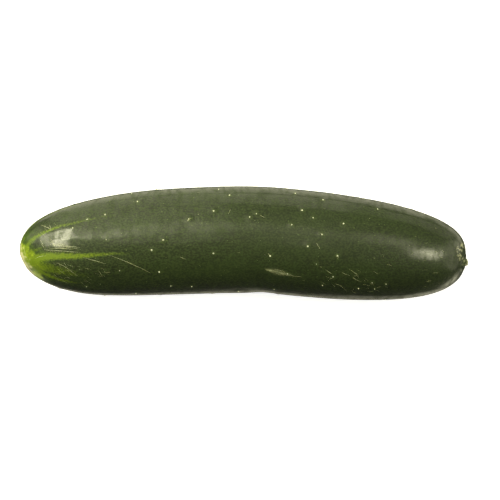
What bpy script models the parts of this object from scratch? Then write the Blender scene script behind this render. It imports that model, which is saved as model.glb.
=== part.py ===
# A slicing cucumber lying on its side, as one solid.
# The blossom end is at -X, the torn stalk at +X, and the fruit bows towards +Y.
# The origin is the middle of the underside of the whole fruit's box.
# Measures are millimetres and degrees here, and turn to metres where the mesh is made.
import math
import random

import bmesh
import bpy
import numpy as np
from mathutils import Matrix, Vector

MM = 0.001

# The fruit's outline along its length
FRUIT_LENGTH = 208.0        # tip to tip, without the stalk
GREATEST_RADIUS = 24.95
WIDEST_AT = 114.0           # from the blossom tip
BLOSSOM_POWERS = (4.4, 2.06)   # how slowly the outline closes along the fruit, and how round the tip is
STEM_POWERS = (2.88, 2.72)     # the stem end closes sooner and its tip is blunter
BOW = 6.8                   # how far the middle stands off the line through both tips

# The section: nearly round, a little three-sided, with nine shallow furrows from the blossom end
LOBES = 3
LOBE_HEIGHT = 0.28
LOBE_TURN = 80.0
FURROWS = 9
FURROW_TURN = -3.0
FURROW_DEPTH = 0.3          # at the blossom end
FURROW_DEPTH_LEFT = 0.07    # what is left of it over the rest of the fruit
FURROW_FADES_IN = 42.0
FURROW_STARTS_AT_RADIUS = 9.0
SWELL_HEIGHT = 0.12         # slow unevenness of the growth
SWELL_LENGTH = 60.0
SWELL_START = 27.0

# A slight waist low on the front side
WAIST_AT = 114.0
WAIST_ROUND = 118.0
WAIST_DEPTH = 0.68
WAIST_LENGTH = 7.2
WAIST_SPREAD = 38.0

# Both end marks sit off the middle of their tips: (towards +Y, upwards)
BLOSSOM_MARK = (-6.0, -2.0)
STEM_MARK = (-5.0, 3.6)
MARK_NEAR = 3.6             # rings narrower than this are centred on the mark
MARK_REACH = 16.0           # rings wider than this are centred on the fruit again

# The blossom scar and the stalk's seat
SCAR_RADIUS = 2.4
SCAR_DEPTH = 0.45
SEAT_RADIUS = 5.0
SEAT_DEPTH = 0.3
CORK_RADIUS = 3.5
CORK_HEIGHT = 0.3
CORK_WIDTH = 0.7

# The torn stalk, from its foot to its ragged top: (radius, height)
STALK = ((2.3, 0.1), (1.8, 0.5), (1.65, 1.2), (1.25, 1.7), (0.55, 1.3))
STALK_RAGGED = 0.25
STALK_RIBS = 5
STALK_SLANT_TURN = 60.0     # where the two-sided slant of the tear begins

# The flat spot that the fruit lies on
FLAT_DEPTH = 0.6

# The spines' stumps, thinly spread over the skin
SPINES = 84
SPINE_APART = 12.0
SPINE_RADIUS = 0.42
SPINE_TIP_RADIUS = 0.2
SPINE_HEIGHT = 0.38
SPINE_ROOT = 0.6
SPINE_SIDES = 5
SPINE_CLEAR_OF_TIPS = 16.0
SPINE_ABOVE_FLOOR = 3.5
SPINE_SEED = 9

# How fine the mesh is
SEGMENTS = 54
OUTLINE_SAMPLES = 2000      # for spacing the rings
RADIUS_WEIGHT = 3.0         # rings gather where the radius changes
SHARP_ANGLE = 40.0
TIP_RINGS = 9               # from an end mark to MARK_REACH
BODY_RINGS = 30             # between the tips
BLOSSOM_INNER_RING = 1.5
STEM_INNER_RING = 2.9       # just outside the stalk's foot

SKIN_COLOUR = (0.036, 0.062, 0.014)
SKIN_ROUGHNESS = 0.4


def bell(value, width):
    return math.exp(-(value / width) ** 2)


def turn_between(a, b):
    return (a - b + 180.0) % 360.0 - 180.0


def end_of(along):
    # The reach, powers, side and mark of the end that a place belongs to
    if along < WIDEST_AT:
        return WIDEST_AT, BLOSSOM_POWERS, -1.0, Vector(BLOSSOM_MARK)
    return FRUIT_LENGTH - WIDEST_AT, STEM_POWERS, 1.0, Vector(STEM_MARK)


def radius_at(along):
    reach, (length_power, tip_power), side, _ = end_of(along)
    closing = (side * (along - WIDEST_AT) / reach) ** length_power
    return GREATEST_RADIUS * max(0.0, 1.0 - closing) ** (1.0 / tip_power)


def along_at(radius, side):
    reach, (length_power, tip_power), _, _ = end_of(WIDEST_AT + side)
    closing = 1.0 - min(1.0, radius / GREATEST_RADIUS) ** tip_power
    return WIDEST_AT + side * reach * closing ** (1.0 / length_power)


def unevenness(along, radius, turn):
    # What the skin stands out or in from the smooth outline
    share = radius / GREATEST_RADIUS
    furrow = FURROW_DEPTH_LEFT + FURROW_DEPTH * bell(along, FURROW_FADES_IN)
    furrow *= min(1.0, radius / FURROW_STARTS_AT_RADIUS)
    out = LOBE_HEIGHT * share * math.cos(math.radians(LOBES * (turn - LOBE_TURN)))
    out -= furrow * (0.5 + 0.5 * math.cos(math.radians(FURROWS * (turn - FURROW_TURN))))
    phase = 2.0 * math.pi * (along - SWELL_START) / SWELL_LENGTH
    out += SWELL_HEIGHT * share * math.sin(phase + math.radians(turn))
    waist = bell(along - WAIST_AT, WAIST_LENGTH) * bell(turn_between(turn, WAIST_ROUND), WAIST_SPREAD)
    return out - WAIST_DEPTH * waist


def end_relief(distance, side):
    # How far an end's skin stands out around its mark, along the fruit
    if side < 0:
        return -SCAR_DEPTH * bell(distance, SCAR_RADIUS)
    return -SEAT_DEPTH * bell(distance, SEAT_RADIUS) + CORK_HEIGHT * bell(distance - CORK_RADIUS, CORK_WIDTH)


def skin_point(along, radius, turn):
    # A place on the skin; turn is 0 on top and grows towards the front, -Y
    _, _, side, mark = end_of(along)
    outward = Vector((-math.sin(math.radians(turn)), math.cos(math.radians(turn))))
    nearness = min(1.0, max(0.0, (MARK_REACH - radius) / (MARK_REACH - MARK_NEAR)))
    shift = mark * math.sin(math.pi * nearness / 2.0) ** 2
    across = shift + radius * outward
    if shift.length > 0.0:
        along = along_at(across.length, side) + side * end_relief((across - mark).length, side)
    across += outward * unevenness(along, radius, turn)
    bow = BOW * math.cos(math.pi * (along / FRUIT_LENGTH - 0.5)) ** 2
    return Vector((along, across.x + bow, across.y))


def ring_stations():
    # The rings' places as (along, radius), from the blossom mark to the stem mark
    first, last = along_at(MARK_REACH, -1.0), along_at(MARK_REACH, 1.0)
    blossom = [(along_at(radius, -1.0), radius)
               for radius in np.linspace(BLOSSOM_INNER_RING, MARK_REACH, TIP_RINGS).tolist()]
    stem = [(along_at(radius, 1.0), radius)
            for radius in np.linspace(MARK_REACH, STEM_INNER_RING, TIP_RINGS).tolist()]
    fine = np.linspace(first, last, OUTLINE_SAMPLES)
    outline = np.array([radius_at(along) for along in fine])
    run = np.concatenate(([0.0], np.cumsum(np.hypot(np.diff(fine), np.diff(outline) * RADIUS_WEIGHT))))
    steps = np.linspace(0.0, run[-1], BODY_RINGS + 2)[1:-1]
    body = [(along, radius_at(along)) for along in np.interp(steps, run, fine).tolist()]
    return blossom + body + stem


def stalk_point(radius, height, turn):
    # A place on the torn stalk, which leans the way its seat faces
    mark = Vector(STEM_MARK)
    seat = along_at(mark.length, 1.0) + end_relief(0.0, 1.0)
    nearby = along_at(mark.length + 1.0, 1.0) + end_relief(0.0, 1.0)
    axis = Vector((1.0, *(mark.normalized() * (seat - nearby)))).normalized()
    tilt = Vector((1.0, 0.0, 0.0)).rotation_difference(axis)
    slant = math.sin(math.radians(2.0 * turn + STALK_SLANT_TURN))
    ribs = math.sin(math.radians(STALK_RIBS * turn))
    height += STALK_RAGGED * (slant + 0.6 * ribs) * min(1.0, height)
    outward = Vector((height, -radius * math.sin(math.radians(turn)), radius * math.cos(math.radians(turn))))
    return Vector((seat, mark.x, mark.y)) + tilt @ outward


def add_ring(bm, points):
    return [bm.verts.new(point) for point in points]


def fruit_mesh():
    bm = bmesh.new()
    turns = [360.0 * k / SEGMENTS for k in range(SEGMENTS)]
    rings = [add_ring(bm, [skin_point(along, radius, turn) for turn in turns])
             for along, radius in ring_stations()]
    rings += [add_ring(bm, [stalk_point(radius, height, turn) for turn in turns])
              for radius, height in STALK]
    for near, far in zip(rings, rings[1:]):
        for k in range(SEGMENTS):
            after = (k + 1) % SEGMENTS
            bm.faces.new((near[k], far[k], far[after], near[after]))
    for ring, facing in ((rings[0], 1), (rings[-1], -1)):
        middle = bm.verts.new(sum((vert.co for vert in ring), Vector()) / SEGMENTS)
        for k in range(SEGMENTS):
            corners = (middle, ring[k], ring[(k + 1) % SEGMENTS])
            bm.faces.new(corners[::facing])
    bmesh.ops.recalc_face_normals(bm, faces=bm.faces[:])
    return bm


def to_rest(bm):
    # How far the fruit moves so that its box stands on the origin, with the flat spot at the bottom
    points = np.array([vert.co for vert in bm.verts])
    low, high = points.min(axis=0), points.max(axis=0)
    return Vector((-(low[0] + high[0]) / 2.0, -(low[1] + high[1]) / 2.0, -low[2] - FLAT_DEPTH))


def spine_places():
    # Places drawn evenly over the skin, none close to another, to an end or to the flat spot
    draw = random.Random(SPINE_SEED)
    places = []
    while len(places) < SPINES:
        along = draw.uniform(SPINE_CLEAR_OF_TIPS, FRUIT_LENGTH - SPINE_CLEAR_OF_TIPS)
        turn = draw.uniform(-180.0, 180.0)
        radius = radius_at(along)
        spot = skin_point(along, radius, turn)
        low = GREATEST_RADIUS + spot.z < SPINE_ABOVE_FLOOR
        close = any((spot - other).length < SPINE_APART for _, _, other in places)
        if not low and not close:
            places.append((along, turn, spot))
    return places


def spine_matrix(along, turn, shift):
    spot = skin_point(along, radius_at(along), turn)
    ahead = skin_point(along + 0.5, radius_at(along + 0.5), turn) - spot
    aside = skin_point(along, radius_at(along), turn + 1.0) - spot
    normal = aside.cross(ahead).normalized()
    return Matrix.Translation((spot + shift) * MM) @ normal.to_track_quat("Z", "X").to_matrix().to_4x4()


def spine_mesh():
    bm = bmesh.new()
    bmesh.ops.create_cone(bm, cap_ends=True, segments=SPINE_SIDES, radius1=SPINE_RADIUS * MM,
                          radius2=SPINE_TIP_RADIUS * MM, depth=(SPINE_ROOT + SPINE_HEIGHT) * MM)
    bmesh.ops.translate(bm, verts=bm.verts[:], vec=(0.0, 0.0, (SPINE_HEIGHT - SPINE_ROOT) * 0.5 * MM))
    mesh = bpy.data.meshes.new("spine")
    bm.to_mesh(mesh)
    bm.free()
    return mesh


def skin_material():
    material = bpy.data.materials.new("skin")
    material.use_nodes = True
    shader = material.node_tree.nodes["Principled BSDF"]
    shader.inputs["Base Color"].default_value = (*SKIN_COLOUR, 1.0)
    shader.inputs["Roughness"].default_value = SKIN_ROUGHNESS
    shader.inputs["Metallic"].default_value = 0.0
    return material


def build_cucumber():
    bm = fruit_mesh()
    shift = to_rest(bm)
    for vert in bm.verts:
        vert.co = (vert.co + shift) * MM
        vert.co.z = max(vert.co.z, 0.0)
    mesh = bpy.data.meshes.new("cucumber")
    bm.to_mesh(mesh)
    bm.free()
    mesh.materials.append(skin_material())
    fruit = bpy.data.objects.new("cucumber", mesh)
    bpy.context.scene.collection.objects.link(fruit)

    spines = bpy.data.collections.new("spines")
    bpy.context.scene.collection.children.link(spines)
    stump = spine_mesh()
    for number, (along, turn, _) in enumerate(spine_places()):
        spine = bpy.data.objects.new(f"spine_{number}", stump)
        spine.matrix_world = spine_matrix(along, turn, shift)
        spines.objects.link(spine)

    union = fruit.modifiers.new("spines", "BOOLEAN")
    union.operation = "UNION"
    union.operand_type = "COLLECTION"
    union.collection = spines
    union.solver = "EXACT"
    bpy.context.view_layer.update()
    evaluated = fruit.evaluated_get(bpy.context.evaluated_depsgraph_get())
    joined = bpy.data.meshes.new_from_object(evaluated)
    fruit.modifiers.clear()
    fruit.data = joined
    for spine in list(spines.objects):
        bpy.data.objects.remove(spine)
    bpy.data.collections.remove(spines)
    fruit.data.shade_smooth()
    fruit.data.set_sharp_from_angle(angle=math.radians(SHARP_ANGLE))


for item in list(bpy.data.objects):
    bpy.data.objects.remove(item)
build_cucumber()
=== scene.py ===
import math
import random

import bmesh
import bpy
import numpy as np
from mathutils import Matrix, Vector, noise


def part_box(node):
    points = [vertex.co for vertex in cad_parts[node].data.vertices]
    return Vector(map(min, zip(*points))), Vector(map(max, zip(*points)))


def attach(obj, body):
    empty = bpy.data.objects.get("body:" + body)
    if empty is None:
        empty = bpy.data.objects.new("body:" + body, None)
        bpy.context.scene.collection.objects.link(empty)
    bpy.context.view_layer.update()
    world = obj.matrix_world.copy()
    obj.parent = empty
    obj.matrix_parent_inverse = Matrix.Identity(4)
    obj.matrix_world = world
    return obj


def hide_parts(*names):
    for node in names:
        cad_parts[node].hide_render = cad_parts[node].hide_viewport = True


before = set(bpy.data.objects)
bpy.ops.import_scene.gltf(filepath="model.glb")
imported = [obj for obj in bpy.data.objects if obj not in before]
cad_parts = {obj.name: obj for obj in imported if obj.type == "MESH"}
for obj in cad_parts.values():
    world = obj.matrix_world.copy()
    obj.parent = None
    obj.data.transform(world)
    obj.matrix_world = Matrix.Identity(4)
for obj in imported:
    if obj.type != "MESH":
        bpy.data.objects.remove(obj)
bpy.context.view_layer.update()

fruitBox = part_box("cucumber")
mm = 0.001


def toLinear(hexColour):
    channels = [int(hexColour[i:i + 2], 16) / 255 for i in (1, 3, 5)]
    return [c / 12.92 if c <= 0.04045 else ((c + 0.055) / 1.055) ** 2.4 for c in channels] + [1.0]


def addNode(tree, kind, inputs=None, output=0, stops=None, **settings):
    # an input is another node's output, a hex colour or a plain value; stops fill a colour ramp;
    # what comes back is the node's first output, or the one that is asked for. A new ramp has two stops
    node = tree.nodes.new(kind)
    for name, value in settings.items():
        setattr(node, name, value)
    for name, value in (inputs or {}).items():
        if isinstance(value, bpy.types.NodeSocket):
            tree.links.new(value, node.inputs[name])
        else:
            node.inputs[name].default_value = toLinear(value) if isinstance(value, str) else value
    for number, (place, colour) in enumerate(stops or ()):
        elements = node.color_ramp.elements
        element = elements[number] if number < 2 else elements.new(place)
        element.position = place
        element.color = toLinear(colour)
    return node.outputs[output] if node.outputs else None


def newTree(owner):
    owner.use_nodes = True
    owner.node_tree.nodes.clear()
    return owner.node_tree


# Camera: steeply down on the fruit through a long lens. The field's width at the fruit and how far
# the aim is off the middle of its box are metres
camera = {
    "azimuth": 1.17, "elevation": 60.0, "lens": 120.0, "sensor": 36.0, "clip": (0.01, 20.0),
    "fieldWidth": 0.2344, "aimRight": 0.00285, "aimDown": 0.0033,
}


def cameraAxes():
    azimuth, elevation = math.radians(camera["azimuth"]), math.radians(camera["elevation"])
    right = Vector((math.cos(azimuth), math.sin(azimuth), 0))
    back = Vector((math.sin(azimuth) * math.cos(elevation), -math.cos(azimuth) * math.cos(elevation),
                   math.sin(elevation)))
    return right, back.cross(right), back


def makeCamera():
    right, up, back = cameraAxes()
    data = bpy.data.cameras.new("camera")
    data.lens, data.sensor_width = camera["lens"], camera["sensor"]
    data.clip_start, data.clip_end = camera["clip"]
    item = bpy.data.objects.new("camera", data)
    bpy.context.scene.collection.objects.link(item)
    item.rotation_mode = "QUATERNION"
    item.rotation_quaternion = Matrix((right, up, back)).transposed().to_quaternion()
    middle = Vector((0, 0, (fruitBox[0][2] + fruitBox[1][2]) / 2))
    distance = camera["fieldWidth"] * camera["lens"] / camera["sensor"]
    item.location = middle + back * distance + right * camera["aimRight"] - up * camera["aimDown"]
    bpy.context.scene.camera = item
    print("camera placed", [round(c, 4) for c in item.location])


# The fruit's form, in millimetres and degrees; the same driving sizes as the solid
fruit = {
    "length": 208.0, "radius": 24.95, "widestAt": 114.0,
    "blossomPowers": (4.4, 2.06), "stemPowers": (2.88, 2.72), "bow": 6.8,
    "lobes": 3, "lobeHeight": 0.28, "lobeTurn": 80.0,
    "furrows": 9, "furrowTurn": -3.0, "furrowDepth": 0.3, "furrowDepthLeft": 0.07,
    "furrowFadesIn": 42.0, "furrowStartsAtRadius": 9.0,
    "swellHeight": 0.12, "swellLength": 60.0, "swellStart": 27.0,
    "waistAt": 114.0, "waistTurn": 118.0, "waistDepth": 0.68, "waistLength": 7.2, "waistSpread": 38.0,
    "blossomMark": (-6.0, -2.0), "stemMark": (-5.0, 3.6), "markNear": 3.6, "markReach": 16.0,
    "scarRadius": 2.4, "scarDepth": 0.45, "seatRadius": 5.0, "seatDepth": 0.3,
    "flatDepth": 0.6,
    # the mesh: how much a change of radius draws rings together, and how finely the outline and the
    # box are measured
    "segments": 324, "tipRings": 40, "bodyRings": 205, "firstRing": 0.012, "poleRadius": 0.05,
    "radiusWeight": 2.0, "outlineSamples": 4000, "boxTurns": 121,
}


def bell(value, width):
    return np.exp(-(value / width) ** 2)


def turnBetween(a, b):
    return (a - b + 180.0) % 360.0 - 180.0


def radiusAt(along):
    blossom = along < fruit["widestAt"]
    reach = np.where(blossom, fruit["widestAt"], fruit["length"] - fruit["widestAt"])
    lengthPower = np.where(blossom, fruit["blossomPowers"][0], fruit["stemPowers"][0])
    tipPower = np.where(blossom, fruit["blossomPowers"][1], fruit["stemPowers"][1])
    closing = (np.abs(along - fruit["widestAt"]) / reach) ** lengthPower
    return fruit["radius"] * np.maximum(0.0, 1.0 - closing) ** (1.0 / tipPower)


def alongAt(radius, side):
    blossom = side < 0
    reach = np.where(blossom, fruit["widestAt"], fruit["length"] - fruit["widestAt"])
    lengthPower = np.where(blossom, fruit["blossomPowers"][0], fruit["stemPowers"][0])
    tipPower = np.where(blossom, fruit["blossomPowers"][1], fruit["stemPowers"][1])
    closing = 1.0 - np.minimum(1.0, radius / fruit["radius"]) ** tipPower
    return fruit["widestAt"] + side * reach * closing ** (1.0 / lengthPower)


def bowAt(along):
    return fruit["bow"] * np.cos(np.pi * (along / fruit["length"] - 0.5)) ** 2


def skinPoints(along, radius, turn):
    # places on the skin for arrays of ring place, ring radius and turn, which broadcast together
    along, radius, turn = np.broadcast_arrays(*[np.asarray(a, float) for a in (along, radius, turn)])
    side = np.where(along < fruit["widestAt"], -1.0, 1.0)
    angle = np.radians(turn)
    outward = np.stack((-np.sin(angle), np.cos(angle)), axis=-1)
    mark = np.where((side < 0)[..., None], fruit["blossomMark"], fruit["stemMark"])
    nearness = np.clip((fruit["markReach"] - radius) / (fruit["markReach"] - fruit["markNear"]), 0.0, 1.0)
    across = mark * (np.sin(np.pi * nearness / 2.0) ** 2)[..., None] + radius[..., None] * outward
    distance = np.linalg.norm(across - mark, axis=-1)
    relief = np.where(side < 0, -fruit["scarDepth"] * bell(distance, fruit["scarRadius"]),
                      -fruit["seatDepth"] * bell(distance, fruit["seatRadius"]))
    capAlong = alongAt(np.linalg.norm(across, axis=-1), side) + side * relief
    along = np.where(nearness > 0.0, capAlong, along)
    share = radius / fruit["radius"]
    furrow = fruit["furrowDepthLeft"] + fruit["furrowDepth"] * bell(along, fruit["furrowFadesIn"])
    furrow = furrow * np.minimum(1.0, radius / fruit["furrowStartsAtRadius"])
    out = fruit["lobeHeight"] * share * np.cos(np.radians(fruit["lobes"] * (turn - fruit["lobeTurn"])))
    out = out - furrow * (0.5 + 0.5 * np.cos(np.radians(fruit["furrows"] * (turn - fruit["furrowTurn"]))))
    phase = 2.0 * np.pi * (along - fruit["swellStart"]) / fruit["swellLength"]
    out = out + fruit["swellHeight"] * share * np.sin(phase + angle)
    out = out - (fruit["waistDepth"] * bell(along - fruit["waistAt"], fruit["waistLength"])
                 * bell(turnBetween(turn, fruit["waistTurn"]), fruit["waistSpread"]))
    across = across + outward * out[..., None]
    return np.stack((along, across[..., 0] + bowAt(along), across[..., 1]), axis=-1)


def ringStations():
    # every ring's (along, radius), from the blossom mark to the stem mark
    tip = fruit["markReach"] * np.linspace(fruit["firstRing"], 1.0, fruit["tipRings"])
    first, last = [float(alongAt(fruit["markReach"], side)) for side in (-1.0, 1.0)]
    fine = np.linspace(first, last, fruit["outlineSamples"])
    steps = np.hypot(np.diff(fine), np.diff(radiusAt(fine)) * fruit["radiusWeight"])
    run = np.concatenate(([0.0], np.cumsum(steps)))
    body = np.interp(np.linspace(0.0, run[-1], fruit["bodyRings"] + 2)[1:-1], run, fine)
    along = np.concatenate((alongAt(tip, -1.0), body, alongAt(tip[::-1], 1.0)))
    radius = np.concatenate((tip, radiusAt(body), tip[::-1]))
    return along, radius


def restShift():
    # moves the fruit from its own measure to the frame, by the solid's box
    along, radius = ringStations()
    turns = np.linspace(-180, 180, fruit["boxTurns"])
    points = skinPoints(along[:, None], radius[:, None], turns[None, :])
    low, high = points.min(axis=(0, 1)), points.max(axis=(0, 1))
    boxLow, boxHigh = np.array(fruitBox[0]) / mm, np.array(fruitBox[1]) / mm
    return np.array((boxLow[0] - low[0], (boxLow[1] + boxHigh[1] - low[1] - high[1]) / 2,
                     -low[2] - fruit["flatDepth"]))


shift = restShift()
print("the fruit's own measure moves by", shift.round(3).tolist())


def onSkin(along, turn):
    # a place on the body of the fruit, in metres
    return Vector(((skinPoints(along, radiusAt(np.asarray(along, float)), turn) + shift) * mm).tolist())


# Spine stumps: where the photographed side shows them, and a seeded rule for the rest
spines = {
    # (along, turn, size) of each one in view, from the blossom end on
    "seen": ((26.6, 4, 0.8), (32.7, 84, 0.5), (33.1, -5, 0.85), (41.2, -8, 1.05), (42.4, 23, 0.7),
             (48.4, 59, 0.6), (52.2, -44, 0.8), (55.5, -22, 0.95), (63.0, 38, 1.1), (66.4, 63, 1.05),
             (68.3, 28, 1.0), (71.5, 84, 0.6), (79.5, 6.5, 0.7), (81.1, 86, 0.9), (90.8, -2, 1.05),
             (91.1, 44, 1.15), (92.5, -38, 0.8), (97.8, -24, 0.9), (107.3, 5, 0.9), (110.3, 1, 0.65),
             (117.0, 46, 1.1), (119.1, 92, 0.6), (125.0, 65, 0.8), (126.5, 11, 0.95), (128.1, -34, 0.9),
             (131.2, -7, 1.0), (134.0, 33, 1.1), (136.2, 1, 0.75), (138.1, 51, 0.5), (140.3, 19, 0.95),
             (140.9, -26, 0.9), (141.2, 77, 0.7), (145.8, 64, 0.75), (147.5, 40, 0.9), (150.1, 4, 1.05),
             (157.7, 78, 0.65), (163.7, 68.5, 0.55), (165.1, 78, 0.55), (166.0, -24, 0.7),
             (170.1, 70, 0.6)),
    "hiddenCount": 46, "hiddenTurns": (95.0, 305.0), "hiddenSize": (0.7, 1.1), "seed": 9,
    "apart": 12.0, "clearOfTips": 16.0, "aboveFloor": 3.5,
    "radius": 0.31, "height": 0.32, "sides": 9,
    "haloWidth": 0.9, "haloReach": 4.0, "haloShare": 0.2,     # the paler skin around each stump
}


def spinePlaces():
    # (along, turn, size) of every stump
    draw = random.Random(spines["seed"])
    places = list(spines["seen"])
    spots = [onSkin(along, turn) for along, turn, _ in places]
    while len(places) < len(spines["seen"]) + spines["hiddenCount"]:
        along = draw.uniform(spines["clearOfTips"], fruit["length"] - spines["clearOfTips"])
        turn = draw.uniform(*spines["hiddenTurns"])
        spot = onSkin(along, turn)
        clear = all((spot - other).length > spines["apart"] * mm for other in spots)
        if clear and spot.z > spines["aboveFloor"] * mm:
            places.append((along, turn, draw.uniform(*spines["hiddenSize"])))
            spots.append(spot)
    return places


places = spinePlaces()


def endMark(side):
    # where the rings of an end close, in frame millimetres
    radius = fruit["poleRadius"]
    return (skinPoints(alongAt(radius, side), radius, 0.0) + shift).reshape(3)


blossomPole, stemPole = endMark(-1.0), endMark(1.0)


def distanceOnSkin(along, turn, spotAlong, spotTurn):
    around = np.radians(turnBetween(turn, spotTurn)) * radiusAt(np.asarray(along, float))
    return np.hypot(along - spotAlong, around)


# The skin's relief, all in millimetres: an even swelling, slow waves, dimples and grain as (size along,
# size around, height), a low mound as (height, width) with a moat as (depth, distance, width) under
# each stump, and the corky ring at the stem
relief = {
    "plump": 0.14,
    "waves": ((16.0, 8.0, 0.07), (6.0, 3.6, 0.034), (2.1, 1.5, 0.011)),
    "mound": (0.1, 1.5), "moat": (0.03, 2.6, 1.1), "moundReach": 6.0,
    "corkRadius": 3.5, "corkHeight": 0.3, "corkWidth": 0.7,
    "probe": (0.3, 0.8),    # how far along and around the normal of a place is taken
}


def reliefHeights(points, along, turn):
    heights = np.full(points.shape[:-1], relief["plump"])
    for sizeAlong, sizeAround, height in relief["waves"]:
        scaled = (points / np.array((sizeAlong, sizeAround, sizeAround))).reshape(-1, 3).tolist()
        heights += height * np.array([noise.noise(place) for place in scaled]).reshape(heights.shape)
    for spotAlong, spotTurn, _ in places:
        near = np.abs(along - spotAlong) < relief["moundReach"]
        far = distanceOnSkin(along[near], turn[near], spotAlong, spotTurn)
        heights[near] += (relief["mound"][0] * bell(far, relief["mound"][1])
                          - relief["moat"][0] * bell(far - relief["moat"][1], relief["moat"][2]))
    fromStem = np.linalg.norm((points - stemPole)[..., 1:], axis=-1)
    ring = bell(fromStem - relief["corkRadius"], relief["corkWidth"])
    stemSide = along > fruit["widestAt"]
    return heights + stemSide * relief["corkHeight"] * ring


def surfaceAt(along, turn, lift):
    # places on the body's skin with its relief, lifted by some millimetres, and their normals
    along, turn, lift = np.broadcast_arrays(*[np.asarray(a, float) for a in (along, turn, lift)])
    alongStep, turnStep = relief["probe"]
    spots = skinPoints(along, radiusAt(along), turn) + shift
    ahead = skinPoints(along + alongStep, radiusAt(along + alongStep), turn) + shift - spots
    aside = skinPoints(along, radiusAt(along), turn + turnStep) + shift - spots
    normals = np.cross(aside, ahead)
    normals /= np.linalg.norm(normals, axis=-1, keepdims=True)
    return spots + normals * (reliefHeights(spots, along, turn) + lift)[..., None], normals


# Pale streaks in the furrows of the blossom end; a path is (along, turn) from the tip on, and a width
# is half the streak's, in millimetres
streaks = {
    "seen": ({"path": ((4, 10), (9.9, 4.5), (20.4, -2), (30, -4.5), (60, -6)), "length": 40.0,
              "width": 1.5, "strength": 0.7},
             {"path": ((4, 38), (8, 31), (14, 27)), "length": 13.0, "width": 1.4, "strength": 0.8},
             {"path": ((4, 60), (8.5, 49), (14.9, 42.5), (23.4, 40), (62.4, 39.5)), "length": 44.0,
              "width": 2.5, "strength": 1.15},
             {"path": ((6, 68), (10.7, 72), (14, 76), (22, 78), (30, 78)), "length": 26.0,
              "width": 2.2, "strength": 1.1},
             {"path": ((5, 56), (14, 62), (24, 64), (45, 68)), "length": 30.0,
              "width": 5.5, "strength": 0.72}),
    "hiddenTurns": (117, 156, -164, -124, -83, -44), "hiddenReach": 60.0, "tip": 4.0,
    "hiddenLength": (26.0, 52.0), "hiddenWidth": (1.1, 2.0), "hiddenStrength": 0.8, "seed": 4,
    "glowOff": (1.0, -3.5, 2.0),    # where the yellow centres, in millimetres off the scar
    "spreadAtTip": 1.2, "spreadOver": 7.0, "narrowed": 0.65, "leastRadius": 2.0,
    "wander": 1.6, "wanderLength": 14.0, "wanderApart": 7.3, "wanderPlane": 0.5,
    "fadeFrom": 1.2, "fadeOver": 1.1, "fadePower": 0.7,
}


def streakList():
    draw = random.Random(streaks["seed"])
    hidden = []
    for turn in streaks["hiddenTurns"]:
        hidden.append({"path": ((streaks["tip"], turn), (streaks["hiddenReach"], turn)),
                       "length": draw.uniform(*streaks["hiddenLength"]),
                       "width": draw.uniform(*streaks["hiddenWidth"]),
                       "strength": streaks["hiddenStrength"]})
    return list(streaks["seen"]) + hidden


def streakMask(along, turn, radius):
    mask = np.zeros(along.shape)
    for number, streak in enumerate(streakList()):
        pathAlong, pathTurn = zip(*streak["path"])
        level = number * streaks["wanderApart"]
        wander = np.array([noise.noise((a / streaks["wanderLength"], level, streaks["wanderPlane"]))
                           for a in along[:, 0]])
        centre = np.interp(along, pathAlong, pathTurn) + streaks["wander"] * wander[:, None]
        off = np.abs(np.radians(turnBetween(turn, centre))) * np.maximum(radius, streaks["leastRadius"])
        width = streak["width"] * (1.0 - streaks["narrowed"] * np.clip(along / streak["length"], 0.0, 1.0))
        width = width + streaks["spreadAtTip"] * bell(along, streaks["spreadOver"])
        left = streaks["fadeFrom"] - along / (streak["length"] * streaks["fadeOver"])
        fade = np.clip(left, 0.0, 1.0) ** streaks["fadePower"]
        mask = np.maximum(mask, streak["strength"] * fade * bell(off, width))
    return mask


# A scuff on the front where something rubbed the wax off, between two (along, turn) ends; its hairs
# start and run by shares of its length
scuff = {"from": (114.8, 61.5), "to": (127.8, 66.8), "halfWidth": 1.25, "leastHalfWidth": 0.05,
         "taperPower": 0.8, "hairs": 26, "hairStart": (0.0, 0.75), "hairRun": (0.12, 0.3), "seed": 12}


def scuffMask(along, turn):
    (fromAlong, fromTurn), (toAlong, toTurn) = scuff["from"], scuff["to"]
    share = np.clip((along - fromAlong) / (toAlong - fromAlong), 0.0, 1.0)
    centre = fromTurn + (toTurn - fromTurn) * share
    off = np.radians(turnBetween(turn, centre)) * fruit["radius"]
    inside = (along > fromAlong) & (along < toAlong)
    width = scuff["halfWidth"] * np.sin(np.pi * share ** scuff["taperPower"]) + scuff["leastHalfWidth"]
    return inside * bell(off, width)


def spotMask(along, turn):
    mask = np.zeros(along.shape)
    for spotAlong, spotTurn, _ in places:
        near = np.abs(along - spotAlong) < spines["haloReach"]
        far = distanceOnSkin(along[near], turn[near], spotAlong, spotTurn)
        mask[near] = np.maximum(mask[near], bell(far, spines["haloWidth"]))
    return mask


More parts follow.
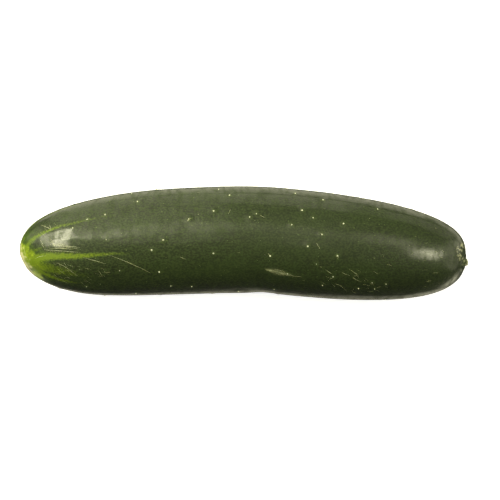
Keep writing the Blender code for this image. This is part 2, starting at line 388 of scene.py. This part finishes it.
def skinMesh():
    ringAlong, ringRadius = ringStations()
    count = fruit["segments"]
    turns = -180.0 + 360.0 * np.arange(count + 1) / count
    _, turn = np.meshgrid(ringAlong, turns, indexing="ij")
    radius = np.repeat(ringRadius[:, None], count + 1, axis=1)
    points = skinPoints(ringAlong[:, None], radius, turn) + shift
    along = points[..., 0] - shift[0]
    ahead, aside = np.gradient(points, axis=0), np.gradient(points, axis=1)
    aside[:, 0] = aside[:, -1] = (aside[:, 0] + aside[:, -1]) / 2
    normal = np.cross(aside, ahead)
    normal /= np.maximum(np.linalg.norm(normal, axis=-1, keepdims=True), 1e-12)
    points = points + normal * reliefHeights(points, along, turn)[..., None]
    points[..., 2] = np.maximum(points[..., 2], 0.0)

    rings = len(ringAlong)
    poles = np.stack((points[0, :-1].mean(axis=0), points[-1, :-1].mean(axis=0)))
    vertices = np.concatenate((points[:, :-1].reshape(-1, 3), poles)) * mm
    i, k = np.meshgrid(np.arange(rings - 1), np.arange(count), indexing="ij")
    after = (k + 1) % count
    low, high = i * count, (i + 1) * count
    quads = np.stack((low + k, high + k, high + after, low + after), axis=-1)
    faces = quads.reshape(-1, 4).tolist()
    firstPole, lastPole, last = rings * count, rings * count + 1, (rings - 1) * count
    for k in range(count):
        after = (k + 1) % count
        faces.append((firstPole, k, after))
        faces.append((lastPole, last + after, last + k))
    mesh = bpy.data.meshes.new("cucumberSkin")
    mesh.from_pydata(vertices.tolist(), [], faces)
    mesh.shade_smooth()

    # what the material goes by: masks, and distances in millimetres from the marks of the ends
    fromStem = np.linalg.norm((points - stemPole - rind["corkOff"])[..., 1:], axis=-1)
    fields = {
        "streak": streakMask(along, turn, radius), "scuff": scuffMask(along, turn),
        "spot": spotMask(along, turn),
        "fromBlossom": np.linalg.norm(points - blossomPole, axis=-1),
        "fromGlow": np.linalg.norm(points - blossomPole - streaks["glowOff"], axis=-1),
        "fromStem": np.where(along > fruit["widestAt"], fromStem, rind["noCork"]),
    }
    for name, field in fields.items():
        values = np.concatenate((field[:, :-1].reshape(-1), (field[0].mean(), field[-1].mean())))
        mesh.attributes.new(name, "FLOAT", "POINT").data.foreach_set("value", values.astype(np.float32))
    return mesh


# Cucumber rind: grown, fine-pored and waxy. The wax gives a second, sharper shine over a soft one,
# patchy where it was rubbed; the green under it is mottled lengthwise, and yellow-green to cream at the
# blossom end
rind = {
    "deep": "#232b18", "mid": "#252f19", "light": "#2a361b", "dapple": "#46552d", "grain": "#5f6e44",
    "freckle": "#748650", "shade": "#1b2411", "flush": "#5c7e1a", "yellow": "#a4ba2e",
    "cream": "#dcdaa4", "streak": "#6c831a", "scuff": "#9aa07c", "cork": "#b2b490",
    # how each pattern is drawn out along the fruit and around it, its size in mm, detail, and the noise's
    # values where it starts and is full
    "patterns": {
        "patch": ((0.35, 1.0, 1.0), 9.0, 4.0, 0.3, 0.7),
        "mottle": ((0.75, 1.0, 1.0), 0.72, 3.0, 0.38, 0.64),
        "grain": ((0.09, 1.0, 1.0), 0.45, 2.0, 0.55, 0.85),
        "ragged": ((0.5, 1.0, 1.0), 2.6, 4.0, 0.3, 0.7),
        "pores": ((1.0, 1.0, 1.0), 1.0, 2.0, 0.3, 0.7),
        "rubbed": ((1.0, 0.35, 0.35), 2.2, 4.0, 0.42, 0.66),
        "flecks": ((1.0, 1.0, 1.0), 1.4, 5.0, 0.49, 0.6),
    },
    "mottleShare": 0.55, "grainShare": 0.3,
    # freckles sit in some cells of a given size in mm; their reach is a share of the cell
    "freckleSize": 2.3, "freckleReach": (0.13, 0.05), "freckledCells": (0.6, 0.75), "freckleShare": 0.8,
    # each zone: the mesh attribute it goes by, the millimetres where it starts and is full, and its
    # share there; ragged is how many millimetres their edges wander
    "zones": {"shade": ("fromBlossom", 60.0, 145.0, 0.35), "flush": ("fromBlossom", 20.0, 10.0, 0.45),
              "yellow": ("fromGlow", 13.0, 8.5, 0.95), "cream": ("fromBlossom", 10.4, 5.6, 1.0)},
    "ragged": 5.0,
    # the mottle breaks the streaks up, as (how much, least share), and the grain the scuff
    "streakReach": (0.08, 0.8), "streakBroken": (0.5, 0.65), "scuffLeast": 0.35,
    # flecks of cork in a ring round the stalk, its middle off the stalk's, in mm; noCork is the
    # distance that the rest of the fruit is given
    "corkOff": (0.0, 2.6, 3.2), "corkRing": 3.95, "corkWidth": (1.9, 0.4), "noCork": 99.0,
    "poreDepth": 0.06, "mottleHeight": 0.4, "roughness": 0.45, "rubbedRoughness": 0.1,
    "refraction": 1.36, "wax": 1.0, "rubbedWax": 0.45, "poreWax": 0.35, "waxRoughness": 0.12,
}


def rindMaterial():
    material = bpy.data.materials.new("cucumberRind")
    tree = newTree(material)
    place = addNode(tree, "ShaderNodeTexCoord", output="Object")
    drawn = {}
    for name, (stretch, size, detail, low, high) in rind["patterns"].items():
        vector = addNode(tree, "ShaderNodeVectorMath", {0: place, 1: stretch}, operation="MULTIPLY")
        cloud = addNode(tree, "ShaderNodeTexNoise", {
            "Vector": vector, "Scale": 1 / (size * mm), "Detail": detail})
        drawn[name] = addNode(tree, "ShaderNodeMapRange", {
            "Value": cloud, "From Min": low, "From Max": high}, interpolation_type="SMOOTHSTEP")
    for name in ("streak", "scuff", "spot", "fromBlossom", "fromGlow", "fromStem"):
        drawn[name] = addNode(tree, "ShaderNodeAttribute", output="Fac", attribute_name=name)

    cells = {"Vector": place, "Scale": 1 / (rind["freckleSize"] * mm)}
    toCell = addNode(tree, "ShaderNodeTexVoronoi", cells, output="Distance")
    cellColour = addNode(tree, "ShaderNodeTexVoronoi", cells, output="Color")
    cellChance = addNode(tree, "ShaderNodeSeparateColor", {"Color": cellColour})
    far, near = rind["freckleReach"]
    freckle = addNode(tree, "ShaderNodeMapRange", {
        "Value": toCell, "From Min": far, "From Max": near, "To Max": rind["freckleShare"]})
    low, high = rind["freckledCells"]
    chosen = addNode(tree, "ShaderNodeMapRange", {"Value": cellChance, "From Min": low, "From Max": high})
    freckle = addNode(tree, "ShaderNodeMath", {0: freckle, 1: chosen}, operation="MULTIPLY")

    # the layers of colour from the lowest up, each with its share
    mottle = addNode(tree, "ShaderNodeMath", {
        0: drawn["mottle"], 1: rind["mottleShare"]}, operation="MULTIPLY")
    grain = addNode(tree, "ShaderNodeMath", {0: drawn["grain"], 1: rind["grainShare"]}, operation="MULTIPLY")
    layers = [(mottle, "dapple"), (grain, "grain"), (freckle, "freckle")]
    raggedAway = addNode(tree, "ShaderNodeMath", {
        0: drawn["ragged"], 1: rind["ragged"], 2: -rind["ragged"] / 2}, operation="MULTIPLY_ADD")
    for name, (attribute, start, full, share) in rind["zones"].items():
        away = addNode(tree, "ShaderNodeMath", {0: drawn[attribute], 1: raggedAway}, operation="ADD")
        zone = addNode(tree, "ShaderNodeMapRange", {
            "Value": away, "From Min": start, "From Max": full, "To Max": share},
            interpolation_type="SMOOTHSTEP")
        layers.append((zone, name))
    brokenShare, least = rind["streakBroken"]
    broken = addNode(tree, "ShaderNodeMath", {
        0: drawn["mottle"], 1: brokenShare, 2: least}, operation="MULTIPLY_ADD")
    streak = addNode(tree, "ShaderNodeMath", {0: drawn["streak"], 1: broken}, operation="MULTIPLY")
    low, high = rind["streakReach"]
    streak = addNode(tree, "ShaderNodeMapRange", {
        "Value": streak, "From Min": low, "From Max": high}, interpolation_type="SMOOTHSTEP")
    layers.insert(-1, (streak, "streak"))       # under the cream
    hairs = addNode(tree, "ShaderNodeMath", {0: drawn["grain"], 1: rind["scuffLeast"]}, operation="ADD")
    rubbedOff = addNode(tree, "ShaderNodeMath", {0: drawn["scuff"], 1: hairs}, operation="MULTIPLY")
    halo = addNode(tree, "ShaderNodeMath", {0: drawn["spot"], 1: spines["haloShare"]}, operation="MULTIPLY")
    offRing = addNode(tree, "ShaderNodeMath", {
        0: drawn["fromStem"], 1: rind["corkRing"]}, operation="SUBTRACT")
    offRing = addNode(tree, "ShaderNodeMath", {0: offRing}, operation="ABSOLUTE")
    far, near = rind["corkWidth"]
    ring = addNode(tree, "ShaderNodeMapRange", {"Value": offRing, "From Min": far, "From Max": near})
    corky = addNode(tree, "ShaderNodeMath", {0: ring, 1: drawn["flecks"]}, operation="MULTIPLY")
    layers += [(rubbedOff, "scuff"), (halo, "freckle"), (corky, "cork")]
    colour = addNode(tree, "ShaderNodeValToRGB", {"Fac": drawn["patch"]},
                     stops=((0.0, rind["deep"]), (1.0, rind["light"]), (0.5, rind["mid"])))
    for share, name in layers:
        colour = addNode(tree, "ShaderNodeMix", {
            0: share, 6: colour, 7: rind[name]}, output=2, data_type="RGBA")

    heights = addNode(tree, "ShaderNodeMath", {
        0: drawn["mottle"], 1: rind["mottleHeight"], 2: drawn["pores"]}, operation="MULTIPLY_ADD")
    bump = addNode(tree, "ShaderNodeBump", {"Height": heights, "Distance": rind["poreDepth"] * mm})
    dull = addNode(tree, "ShaderNodeMath", {
        0: drawn["rubbed"], 1: rind["rubbedRoughness"], 2: rind["roughness"]}, operation="MULTIPLY_ADD")
    wax = addNode(tree, "ShaderNodeMath", {0: drawn["rubbed"], 1: -rind["rubbedWax"], 2: rind["wax"]},
                  operation="MULTIPLY_ADD")
    wax = addNode(tree, "ShaderNodeMath", {0: drawn["mottle"], 1: -rind["poreWax"], 2: wax},
                  operation="MULTIPLY_ADD")
    skin = addNode(tree, "ShaderNodeBsdfPrincipled", {
        "Base Color": colour, "Normal": bump, "Roughness": dull, "IOR": rind["refraction"],
        "Coat Weight": wax, "Coat Roughness": rind["waxRoughness"]})
    addNode(tree, "ShaderNodeOutputMaterial", {"Surface": skin})
    return material


def addPiece(name, mesh, material):
    item = bpy.data.objects.new(name, mesh)
    bpy.context.scene.collection.objects.link(item)
    mesh.materials.append(material)
    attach(item, "root")
    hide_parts("cucumber")
    print(name, len(mesh.polygons), "faces")


def ringsToMesh(name, groups):
    # one closed body a group; a group is a list of rings of equal count in millimetres, closed at both ends
    vertices, faces = [], []
    for rings in groups:
        start, count = len(vertices), len(rings[0])
        for ring in rings:
            vertices.extend(ring)
        for near in range(len(rings) - 1):
            for k in range(count):
                after, low, high = (k + 1) % count, start + near * count, start + (near + 1) * count
                faces.append((low + k, high + k, high + after, low + after))
        faces.append(tuple(range(start, start + count)))
        faces.append(tuple(range(start + len(rings) * count - 1, start + (len(rings) - 1) * count - 1, -1)))
    mesh = bpy.data.meshes.new(name)
    mesh.from_pydata([[c * mm for c in vertex] for vertex in vertices], [], faces)
    bm = bmesh.new()
    bm.from_mesh(mesh)
    bmesh.ops.recalc_face_normals(bm, faces=bm.faces[:])
    bm.to_mesh(mesh)
    bm.free()
    mesh.shade_smooth()
    return mesh


# Spine stumps: dry, cream-coloured nubs with a broken top. The profile's rings are (share of the
# radius, share of the height); a height below 0 is millimetres, sunk in the skin
stump = {"profile": ((1.25, -0.35), (1.1, -0.02), (0.95, 0.4), (0.7, 0.85), (0.3, 1.0), (0.12, 0.8)),
         "heights": (0.7, 1.2), "lean": (-0.25, 0.25), "ragged": (0.85, 1.15), "seed": 10,
         "pale": "#f7fbe0", "dark": "#dde0bc", "toneSize": 0.5, "roughness": 0.6}


def spineStumpMesh():
    draw = random.Random(stump["seed"])
    groups = []
    for along, turn, scale in places:
        spot, normal = surfaceAt(along, turn, 0.0)
        normal = Vector(normal.tolist())
        size = spines["radius"] * scale
        height = spines["height"] * draw.uniform(*stump["heights"])
        lean = Vector([draw.uniform(*stump["lean"]) for _ in range(3)])
        turnTo = (normal + lean).normalized().to_track_quat("Z", "X")
        ragged = [draw.uniform(*stump["ragged"]) for _ in range(spines["sides"])]
        rings = []
        for share, rise in stump["profile"]:
            ring = []
            for k in range(spines["sides"]):
                angle = 2 * math.pi * k / spines["sides"]
                out = size * share * ragged[k]
                level = rise * height if rise > 0 else rise
                corner = turnTo @ Vector((out * math.cos(angle), out * math.sin(angle), level))
                ring.append([spot[axis] + corner[axis] for axis in range(3)])
            rings.append(ring)
        groups.append(rings)
    return ringsToMesh("spineStumps", groups)


# Dried plant tissue: matt and fibrous, in two tones that meet between two values of a noise; pale where
# a mesh attribute says so, by what it lifts the noise there and what it lowers it everywhere
dry = {"detail": 3.0, "darkTo": 0.35, "paleFrom": 0.62, "lift": 0.45, "lower": 0.15,
       "bumpStrength": 0.6, "bumpDepth": 0.1}


def dryMaterial(name, look, paleWhere=None):
    # look is a piece's dictionary with its tones, their size in mm and its roughness
    material = bpy.data.materials.new(name)
    tree = newTree(material)
    place = addNode(tree, "ShaderNodeTexCoord", output="Object")
    tone = addNode(tree, "ShaderNodeTexNoise", {
        "Vector": place, "Scale": 1 / (look["toneSize"] * mm), "Detail": dry["detail"]})
    share = tone
    if paleWhere:
        where = addNode(tree, "ShaderNodeAttribute", output="Fac", attribute_name=paleWhere)
        share = addNode(tree, "ShaderNodeMath", {0: where, 1: dry["lift"], 2: tone},
                        operation="MULTIPLY_ADD")
        share = addNode(tree, "ShaderNodeMath", {0: share, 1: dry["lower"]}, operation="SUBTRACT")
    colour = addNode(tree, "ShaderNodeValToRGB", {"Fac": share},
                     stops=((dry["darkTo"], look["dark"]), (dry["paleFrom"], look["pale"])))
    bump = addNode(tree, "ShaderNodeBump", {
        "Height": tone, "Strength": dry["bumpStrength"], "Distance": dry["bumpDepth"] * mm})
    tissue = addNode(tree, "ShaderNodeBsdfPrincipled", {
        "Base Color": colour, "Normal": bump, "Roughness": look["roughness"]})
    addNode(tree, "ShaderNodeOutputMaterial", {"Surface": tissue})
    return material


# Stalk stump: torn off, five-ribbed, its fibres pulled into a ragged crown round a hollow; the profile's
# rings are (radius, height) in millimetres, and its rim, the pale torn part, is some of them
stalk = {
    "profile": ((2.8, -0.7), (2.3, 0.05), (1.85, 0.25), (1.62, 0.5), (1.55, 0.8), (1.5, 1.1), (1.32, 1.38),
                (1.1, 1.34), (0.9, 1.0), (0.55, 0.75), (0.15, 0.7)),
    "rimRings": (6, 7), "segments": 60, "ribs": 5, "ribDepth": 0.12,
    "ragged": 0.28, "slantTurn": 60.0, "ribRagged": 0.6, "fibre": 0.25, "tearFrom": 0.7, "seed": 21,
    "pale": "#b6b89a", "dark": "#3c4a26", "toneSize": 0.9, "roughness": 0.75,
}


def stalkMesh():
    # leans the way its seat faces, as on the solid
    mark = np.array(fruit["stemMark"])
    distance = float(np.linalg.norm(mark))
    slope = float(alongAt(distance, 1.0) - alongAt(distance + 1.0, 1.0))
    axis = Vector((1.0, *(mark / distance * slope).tolist())).normalized()
    tilt = Vector((1.0, 0.0, 0.0)).rotation_difference(axis)
    seatAlong = float(alongAt(distance, 1.0))
    foot = [seatAlong - fruit["seatDepth"] + float(shift[0]),
            float(mark[0] + shift[1] + bowAt(seatAlong)), float(mark[1] + shift[2])]
    draw = random.Random(stalk["seed"])
    tear = [draw.uniform(-1.0, 1.0) for _ in range(stalk["segments"])]
    rings, torn = [], []
    for number, (radius, height) in enumerate(stalk["profile"]):
        ring = []
        torn += [float(number in stalk["rimRings"])] * stalk["segments"]
        top = min(1.0, max(0.0, height - stalk["tearFrom"]))
        for k in range(stalk["segments"]):
            angle = 2 * math.pi * k / stalk["segments"]
            slant = math.sin(2 * angle + math.radians(stalk["slantTurn"]))
            wave = slant + stalk["ribRagged"] * math.sin(stalk["ribs"] * angle)
            share = min(1.0, max(height, 0.0))
            rise = height + stalk["ragged"] * wave * share + stalk["fibre"] * tear[k] * top
            out = radius * (1.0 + stalk["ribDepth"] * math.cos(stalk["ribs"] * angle) * share)
            corner = tilt @ Vector((rise, -out * math.sin(angle), out * math.cos(angle)))
            ring.append([foot[axis] + corner[axis] for axis in range(3)])
        rings.append(ring)
    mesh = ringsToMesh("stalkStump", [rings])
    mesh.attributes.new("torn", "FLOAT", "POINT").data.foreach_set("value", torn)
    return mesh


# Blossom scar: the dry brown star that the flower left in its shallow pit
scar = {"radius": 2.3, "leastRadius": 0.1, "rings": 7, "segments": 50, "points": 5,
        "ragged": 0.22, "pointShare": 0.6, "tear": (-0.4, 0.4), "dome": 0.22, "lift": 0.02, "root": 0.5,
        "seed": 5, "pale": "#a39468", "dark": "#6b5a36", "toneSize": 0.8, "roughness": 0.85}


def blossomScarMesh():
    draw = random.Random(scar["seed"])
    edge = []
    for k in range(scar["segments"]):
        point = scar["pointShare"] * math.cos(scar["points"] * 2 * math.pi * k / scar["segments"])
        edge.append(1.0 + scar["ragged"] * (point + draw.uniform(*scar["tear"])))
    turns = np.array([360.0 * k / scar["segments"] for k in range(scar["segments"])])
    rings = []
    shares = [1.0] + [1.0 - number / scar["rings"] for number in range(scar["rings"])]
    for number, share in enumerate(shares):
        radius = np.maximum(scar["leastRadius"], scar["radius"] * share * np.array(edge))
        base = skinPoints(alongAt(radius, -1.0), radius, turns) + shift
        rise = -scar["root"] if number == 0 else scar["dome"] * (1.0 - share ** 2) + scar["lift"]
        base[:, 0] -= rise
        rings.append(base.tolist())
    return ringsToMesh("blossomScar", [rings])


# Scratches healed pale and dry: (along, turn) points of each, and where fine ones crowd. A heading is
# degrees off the fruit's length; other measures are millimetres
scratches = {
    "long": (((42.4, 39.2), (51, 48.9), (58.3, 56.8), (62.8, 64.8)),
             ((31.8, 42.5), (37.3, 46.3), (42.4, 50.7)),
             ((19.2, 50.3), (23.9, 56), (28.4, 66.6)), ((8.5, 47), (11, 43.5), (14.5, 41)),
             ((13.5, 31), (22, 33.5), (30, 36)), ((15.9, 29.5), (22, 30.2), (27, 32)),
             ((10.8, -17), (17, 1.5)), ((149.3, 56.9), (151.6, 60.4)), ((153.2, 53.4), (156.9, 59.4)),
             ((154.2, 61.9), (156.6, 65.8), (158.9, 68.6)), ((146.2, 72.3), (149.9, 75.9)),
             ((142.3, 56.5), (145.1, 60.7)), ((137.8, 28), (139.6, 35)),
             ((147.1, 37.9), (147.9, 40.4), (147.4, 43.1)), ((116, 43.4), (116.9, 45.7)),
             ((78.7, 8.9), (80.4, 4.8)), ((79.1, 8.9), (80.6, 5.4)), ((126, 67.5), (131.5, 67.8)),
             ((97.4, 2.2), (98.6, -4.5)), ((76, 47), (78.5, 49.5)), ((112, 2.5), (114.2, 5))),
    # (along from and to, turn from and to, how many, heading, its spread, length from and to)
    "crowds": (((12, 26), (24, 33), 13, 5, 4, (5, 12)), ((9, 18), (8, 26), 8, 50, 12, (2, 5)),
               ((17, 42), (48, 78), 34, 35, 22, (1, 4)), ((10, 19), (-20, 4), 5, 55, 18, (2, 5)),
               ((140, 170), (52, 84), 24, 20, 25, (0.8, 3.5)), ((170, 196), (20, 75), 11, 5, 12, (0.8, 2.6)),
               ((60, 196), (-40, 85), 28, 5, 30, (0.5, 1.3)), ((30, 190), (95, 300), 60, 0, 18, (1, 6))),
    "halfWidth": (0.05, 0.1), "longHalfWidth": 0.16, "longSpread": (0.8, 1.2), "ridge": 0.035, "root": 0.06,
    "step": 0.8, "leastSteps": 4, "taper": (0.06, 0.88), "offFloor": 1.5, "seed": 33,
    "pale": "#d8dab0", "dark": "#98a06c", "toneSize": 1.5, "roughness": 0.6,
}


def scratchRibbon(path, halfWidth):
    # a low ridge along a path on the skin, its two feet and its underside sunk in it; the ends taper
    alongs, turns = [np.array(list(values), float) for values in zip(*path)]
    radius = radiusAt(alongs)
    gaps = np.hypot(np.diff(alongs), np.radians(np.diff(turns)) * radius[1:])
    run = np.concatenate(([0.0], np.cumsum(gaps)))
    count = max(scratches["leastSteps"], int(run[-1] / scratches["step"]) + 1)
    steps = np.linspace(0.0, run[-1], count)
    along, turn = np.interp(steps, run, alongs), np.interp(steps, run, turns)
    if len(alongs) > 2:
        smooth = np.polyfit(run, alongs, 2), np.polyfit(run, turns, 2)
        along, turn = np.polyval(smooth[0], steps), np.polyval(smooth[1], steps)
    headAlong, headTurn = np.gradient(along), np.gradient(turn)
    around = np.radians(headTurn) * radiusAt(along)
    length = np.hypot(headAlong, around)
    tipShare, bodyShare = scratches["taper"]
    taper = halfWidth * np.sin(np.pi * (tipShare + bodyShare * np.linspace(0, 1, count)))
    sideAlong = -around / length * taper
    sideTurn = np.degrees(headAlong / length * taper / radiusAt(along))
    edges = []
    for side, lift in ((-1, -scratches["root"]), (0, scratches["ridge"]), (1, -scratches["root"])):
        spots, _ = surfaceAt(along + side * sideAlong, turn + side * sideTurn, lift)
        edges.append(spots)
    under, _ = surfaceAt(along, turn, -2 * scratches["root"])
    edges.append(under)
    return [[edge[k].tolist() for edge in edges] for k in range(count)]


def scratchMesh():
    draw = random.Random(scratches["seed"])
    groups = []
    for path in scratches["long"]:
        width = scratches["longHalfWidth"] * draw.uniform(*scratches["longSpread"])
        groups.append(scratchRibbon(path, width))
    for alongReach, turnReach, count, lean, spread, lengths in scratches["crowds"]:
        for _ in range(count):
            along, turn = draw.uniform(*alongReach), draw.uniform(*turnReach)
            heading = math.radians(lean + draw.gauss(0, spread))
            length = draw.uniform(*lengths)
            reach = math.degrees(length * math.sin(heading) / float(radiusAt(along)))
            path = ((along, turn), (along + length * math.cos(heading), turn + reach))
            halfWidth = draw.uniform(*scratches["halfWidth"])
            if min(onSkin(*spot).z for spot in path) > scratches["offFloor"] * mm:
                groups.append(scratchRibbon(path, halfWidth))
    draw = random.Random(scuff["seed"])
    for _ in range(scuff["hairs"]):
        start, width = draw.uniform(*scuff["hairStart"]), draw.uniform(-1.0, 1.0)
        finish = start + draw.uniform(*scuff["hairRun"])
        ends = []
        for share in (start, finish):
            along, turn = [a + (b - a) * share for a, b in zip(scuff["from"], scuff["to"])]
            aside = width * scuff["halfWidth"] * math.sin(math.pi * min(share, 1.0))
            ends.append((along, turn + math.degrees(aside / fruit["radius"])))
        groups.append(scratchRibbon(ends, draw.uniform(*scratches["halfWidth"])))
    return ringsToMesh("healedScratches", groups)


# Stage: a lit white table, so what stands on it throws only a pale shadow
studio = {
    "floor": "#d8d8d6", "floorRoughness": 0.9, "glow": 0.86, "floorSize": 8.0, "floorDrop": 0.00005,
    "panelDistance": 1.6, "warm": "#fcf8d4",
    # each panel: degrees to the right and up off the camera's line, metres wide and high, brightness, and
    # the share of its half width over which it fades out to its edge
    "panels": {
        "leftCore": (-37.5, 43, 0.37, 1.00, 14.3, 0.15), "leftLower": (-41.5, 13, 0.38, 0.70, 10.0, 0.25),
        "leftWide": (-52, 38, 0.60, 1.54, 6.2, 0.3), "farLeft": (-62, 85, 0.90, 0.90, 1.0, 0.5),
        "overheadBox": (-15, 58, 0.85, 1.20, 1.0, 0.3), "overheadBand": (-14, 29, 1.00, 0.90, 2.4, 0.6),
        "overheadEdge": (-20, 24, 0.70, 0.36, 1.3, 0.2), "overheadLow": (-8.5, 9, 0.54, 0.80, 1.2, 0.7),
        "topBox": (-13, 97, 1.70, 1.30, 1.0, 0.2), "topRight": (34, 94, 1.35, 1.10, 0.6, 0.5),
        "farRight": (70, 100, 0.90, 0.90, 1.0, 0.5), "backBox": (-2, 138, 1.90, 1.15, 0.85, 0.25),
        "backRight": (44, 140, 1.05, 0.90, 1.0, 0.3), "rightCore": (38.5, 3, 1.10, 0.90, 11.6, 1.0),
        "rightSoft": (20, 25, 1.30, 1.20, 1.7, 1.0), "rightSide": (50, 22, 0.70, 0.90, 1.3, 0.6),
        "rightWall": (78, 10, 1.50, 2.40, 1.25, 0.6), "leftBelow": (-39, -132, 0.60, 0.50, 1.0, 0.6),
        "rightBelow": (42, -130, 1.00, 0.80, 2.2, 0.8), "frontBelow": (12, -136, 0.80, 0.55, 0.5, 0.4),
        "rimBelow": (-15, -155, 2.80, 0.70, 0.5, 0.3), "rimBelowRight": (28, -143, 1.20, 0.90, 0.5, 0.5),
    },
    "room": 0.04, "seenRoom": 0.9,      # how bright the room is, and how bright the camera sees it
}


def makeStage():
    bm = bmesh.new()
    bmesh.ops.create_grid(bm, x_segments=1, y_segments=1, size=studio["floorSize"] / 2)
    mesh = bpy.data.meshes.new("floor")
    bm.to_mesh(mesh)
    bm.free()
    floor = bpy.data.objects.new("floor", mesh)
    bpy.context.scene.collection.objects.link(floor)
    floor.location.z = -studio["floorDrop"]
    material = bpy.data.materials.new("litTable")
    tree = newTree(material)
    top = addNode(tree, "ShaderNodeBsdfPrincipled", {
        "Base Color": studio["floor"], "Roughness": studio["floorRoughness"], "Emission Color": "#ffffff",
        "Emission Strength": studio["glow"]})
    addNode(tree, "ShaderNodeOutputMaterial", {"Surface": top})
    mesh.materials.append(material)
    floor.visible_glossy = floor.visible_diffuse = floor.visible_shadow = False


def addPanel(name, rightOff, upOff, wide, high, brightness, fade):
    # a soft box that faces the fruit
    right, up, back = cameraAxes()
    h, v = math.radians(rightOff), math.radians(upOff)
    outward = right * math.sin(h) + (back * math.cos(v) + up * math.sin(v)) * math.cos(h)
    across = (up * math.cos(v) - back * math.sin(v)).cross(outward).normalized()
    data = bpy.data.lights.new(name, "AREA")
    data.shape = "RECTANGLE"
    data.size, data.size_y = wide, high
    data.energy = brightness * math.pi * wide * high
    data.color = toLinear(studio["warm"])[:3]
    tree = newTree(data)
    spot = addNode(tree, "ShaderNodeNewGeometry", output="Parametric")
    strength = 1.0
    for side in ("X", "Y"):
        share = addNode(tree, "ShaderNodeSeparateXYZ", {0: spot}, output=side)
        off = addNode(tree, "ShaderNodeMath", {0: share, 1: 2.0, 2: -1.0}, operation="MULTIPLY_ADD")
        off = addNode(tree, "ShaderNodeMath", {0: off}, operation="ABSOLUTE")
        dimming = addNode(tree, "ShaderNodeMapRange", {"Value": off, "From Min": 1.0, "From Max": 1.0 - fade},
                          interpolation_type="SMOOTHSTEP")
        strength = addNode(tree, "ShaderNodeMath", {0: dimming, 1: strength}, operation="MULTIPLY")
    glow = addNode(tree, "ShaderNodeEmission", {"Strength": strength})
    addNode(tree, "ShaderNodeOutputLight", {"Surface": glow})
    item = bpy.data.objects.new(name, data)
    bpy.context.scene.collection.objects.link(item)
    item.matrix_world = Matrix((across, outward.cross(across), outward)).transposed().to_4x4()
    item.location = outward * studio["panelDistance"]
    item.visible_camera = False


def makeLight():
    world = bpy.data.worlds.new("room")
    bpy.context.scene.world = world
    tree = newTree(world)
    seen = addNode(tree, "ShaderNodeLightPath", output="Is Camera Ray")
    dim = addNode(tree, "ShaderNodeBackground", {"Color": "#ffffff", "Strength": studio["room"]})
    pale = addNode(tree, "ShaderNodeBackground", {"Color": "#ffffff", "Strength": studio["seenRoom"]})
    mix = addNode(tree, "ShaderNodeMixShader", {0: seen, 1: dim, 2: pale})
    addNode(tree, "ShaderNodeOutputWorld", {"Surface": mix})
    for name, panel in studio["panels"].items():
        addPanel(name, *panel)
    bpy.context.scene.view_settings.view_transform = "Standard"
    print("light placed")


makeCamera()
makeStage()
makeLight()
addPiece("cucumberSkin", skinMesh(), rindMaterial())
addPiece("spineStumps", spineStumpMesh(), dryMaterial("drySpine", stump))
addPiece("stalkStump", stalkMesh(), dryMaterial("tornStalk", stalk, "torn"))
addPiece("blossomScar", blossomScarMesh(), dryMaterial("dryScar", scar))
addPiece("healedScratches", scratchMesh(), dryMaterial("healedSkin", scratches))
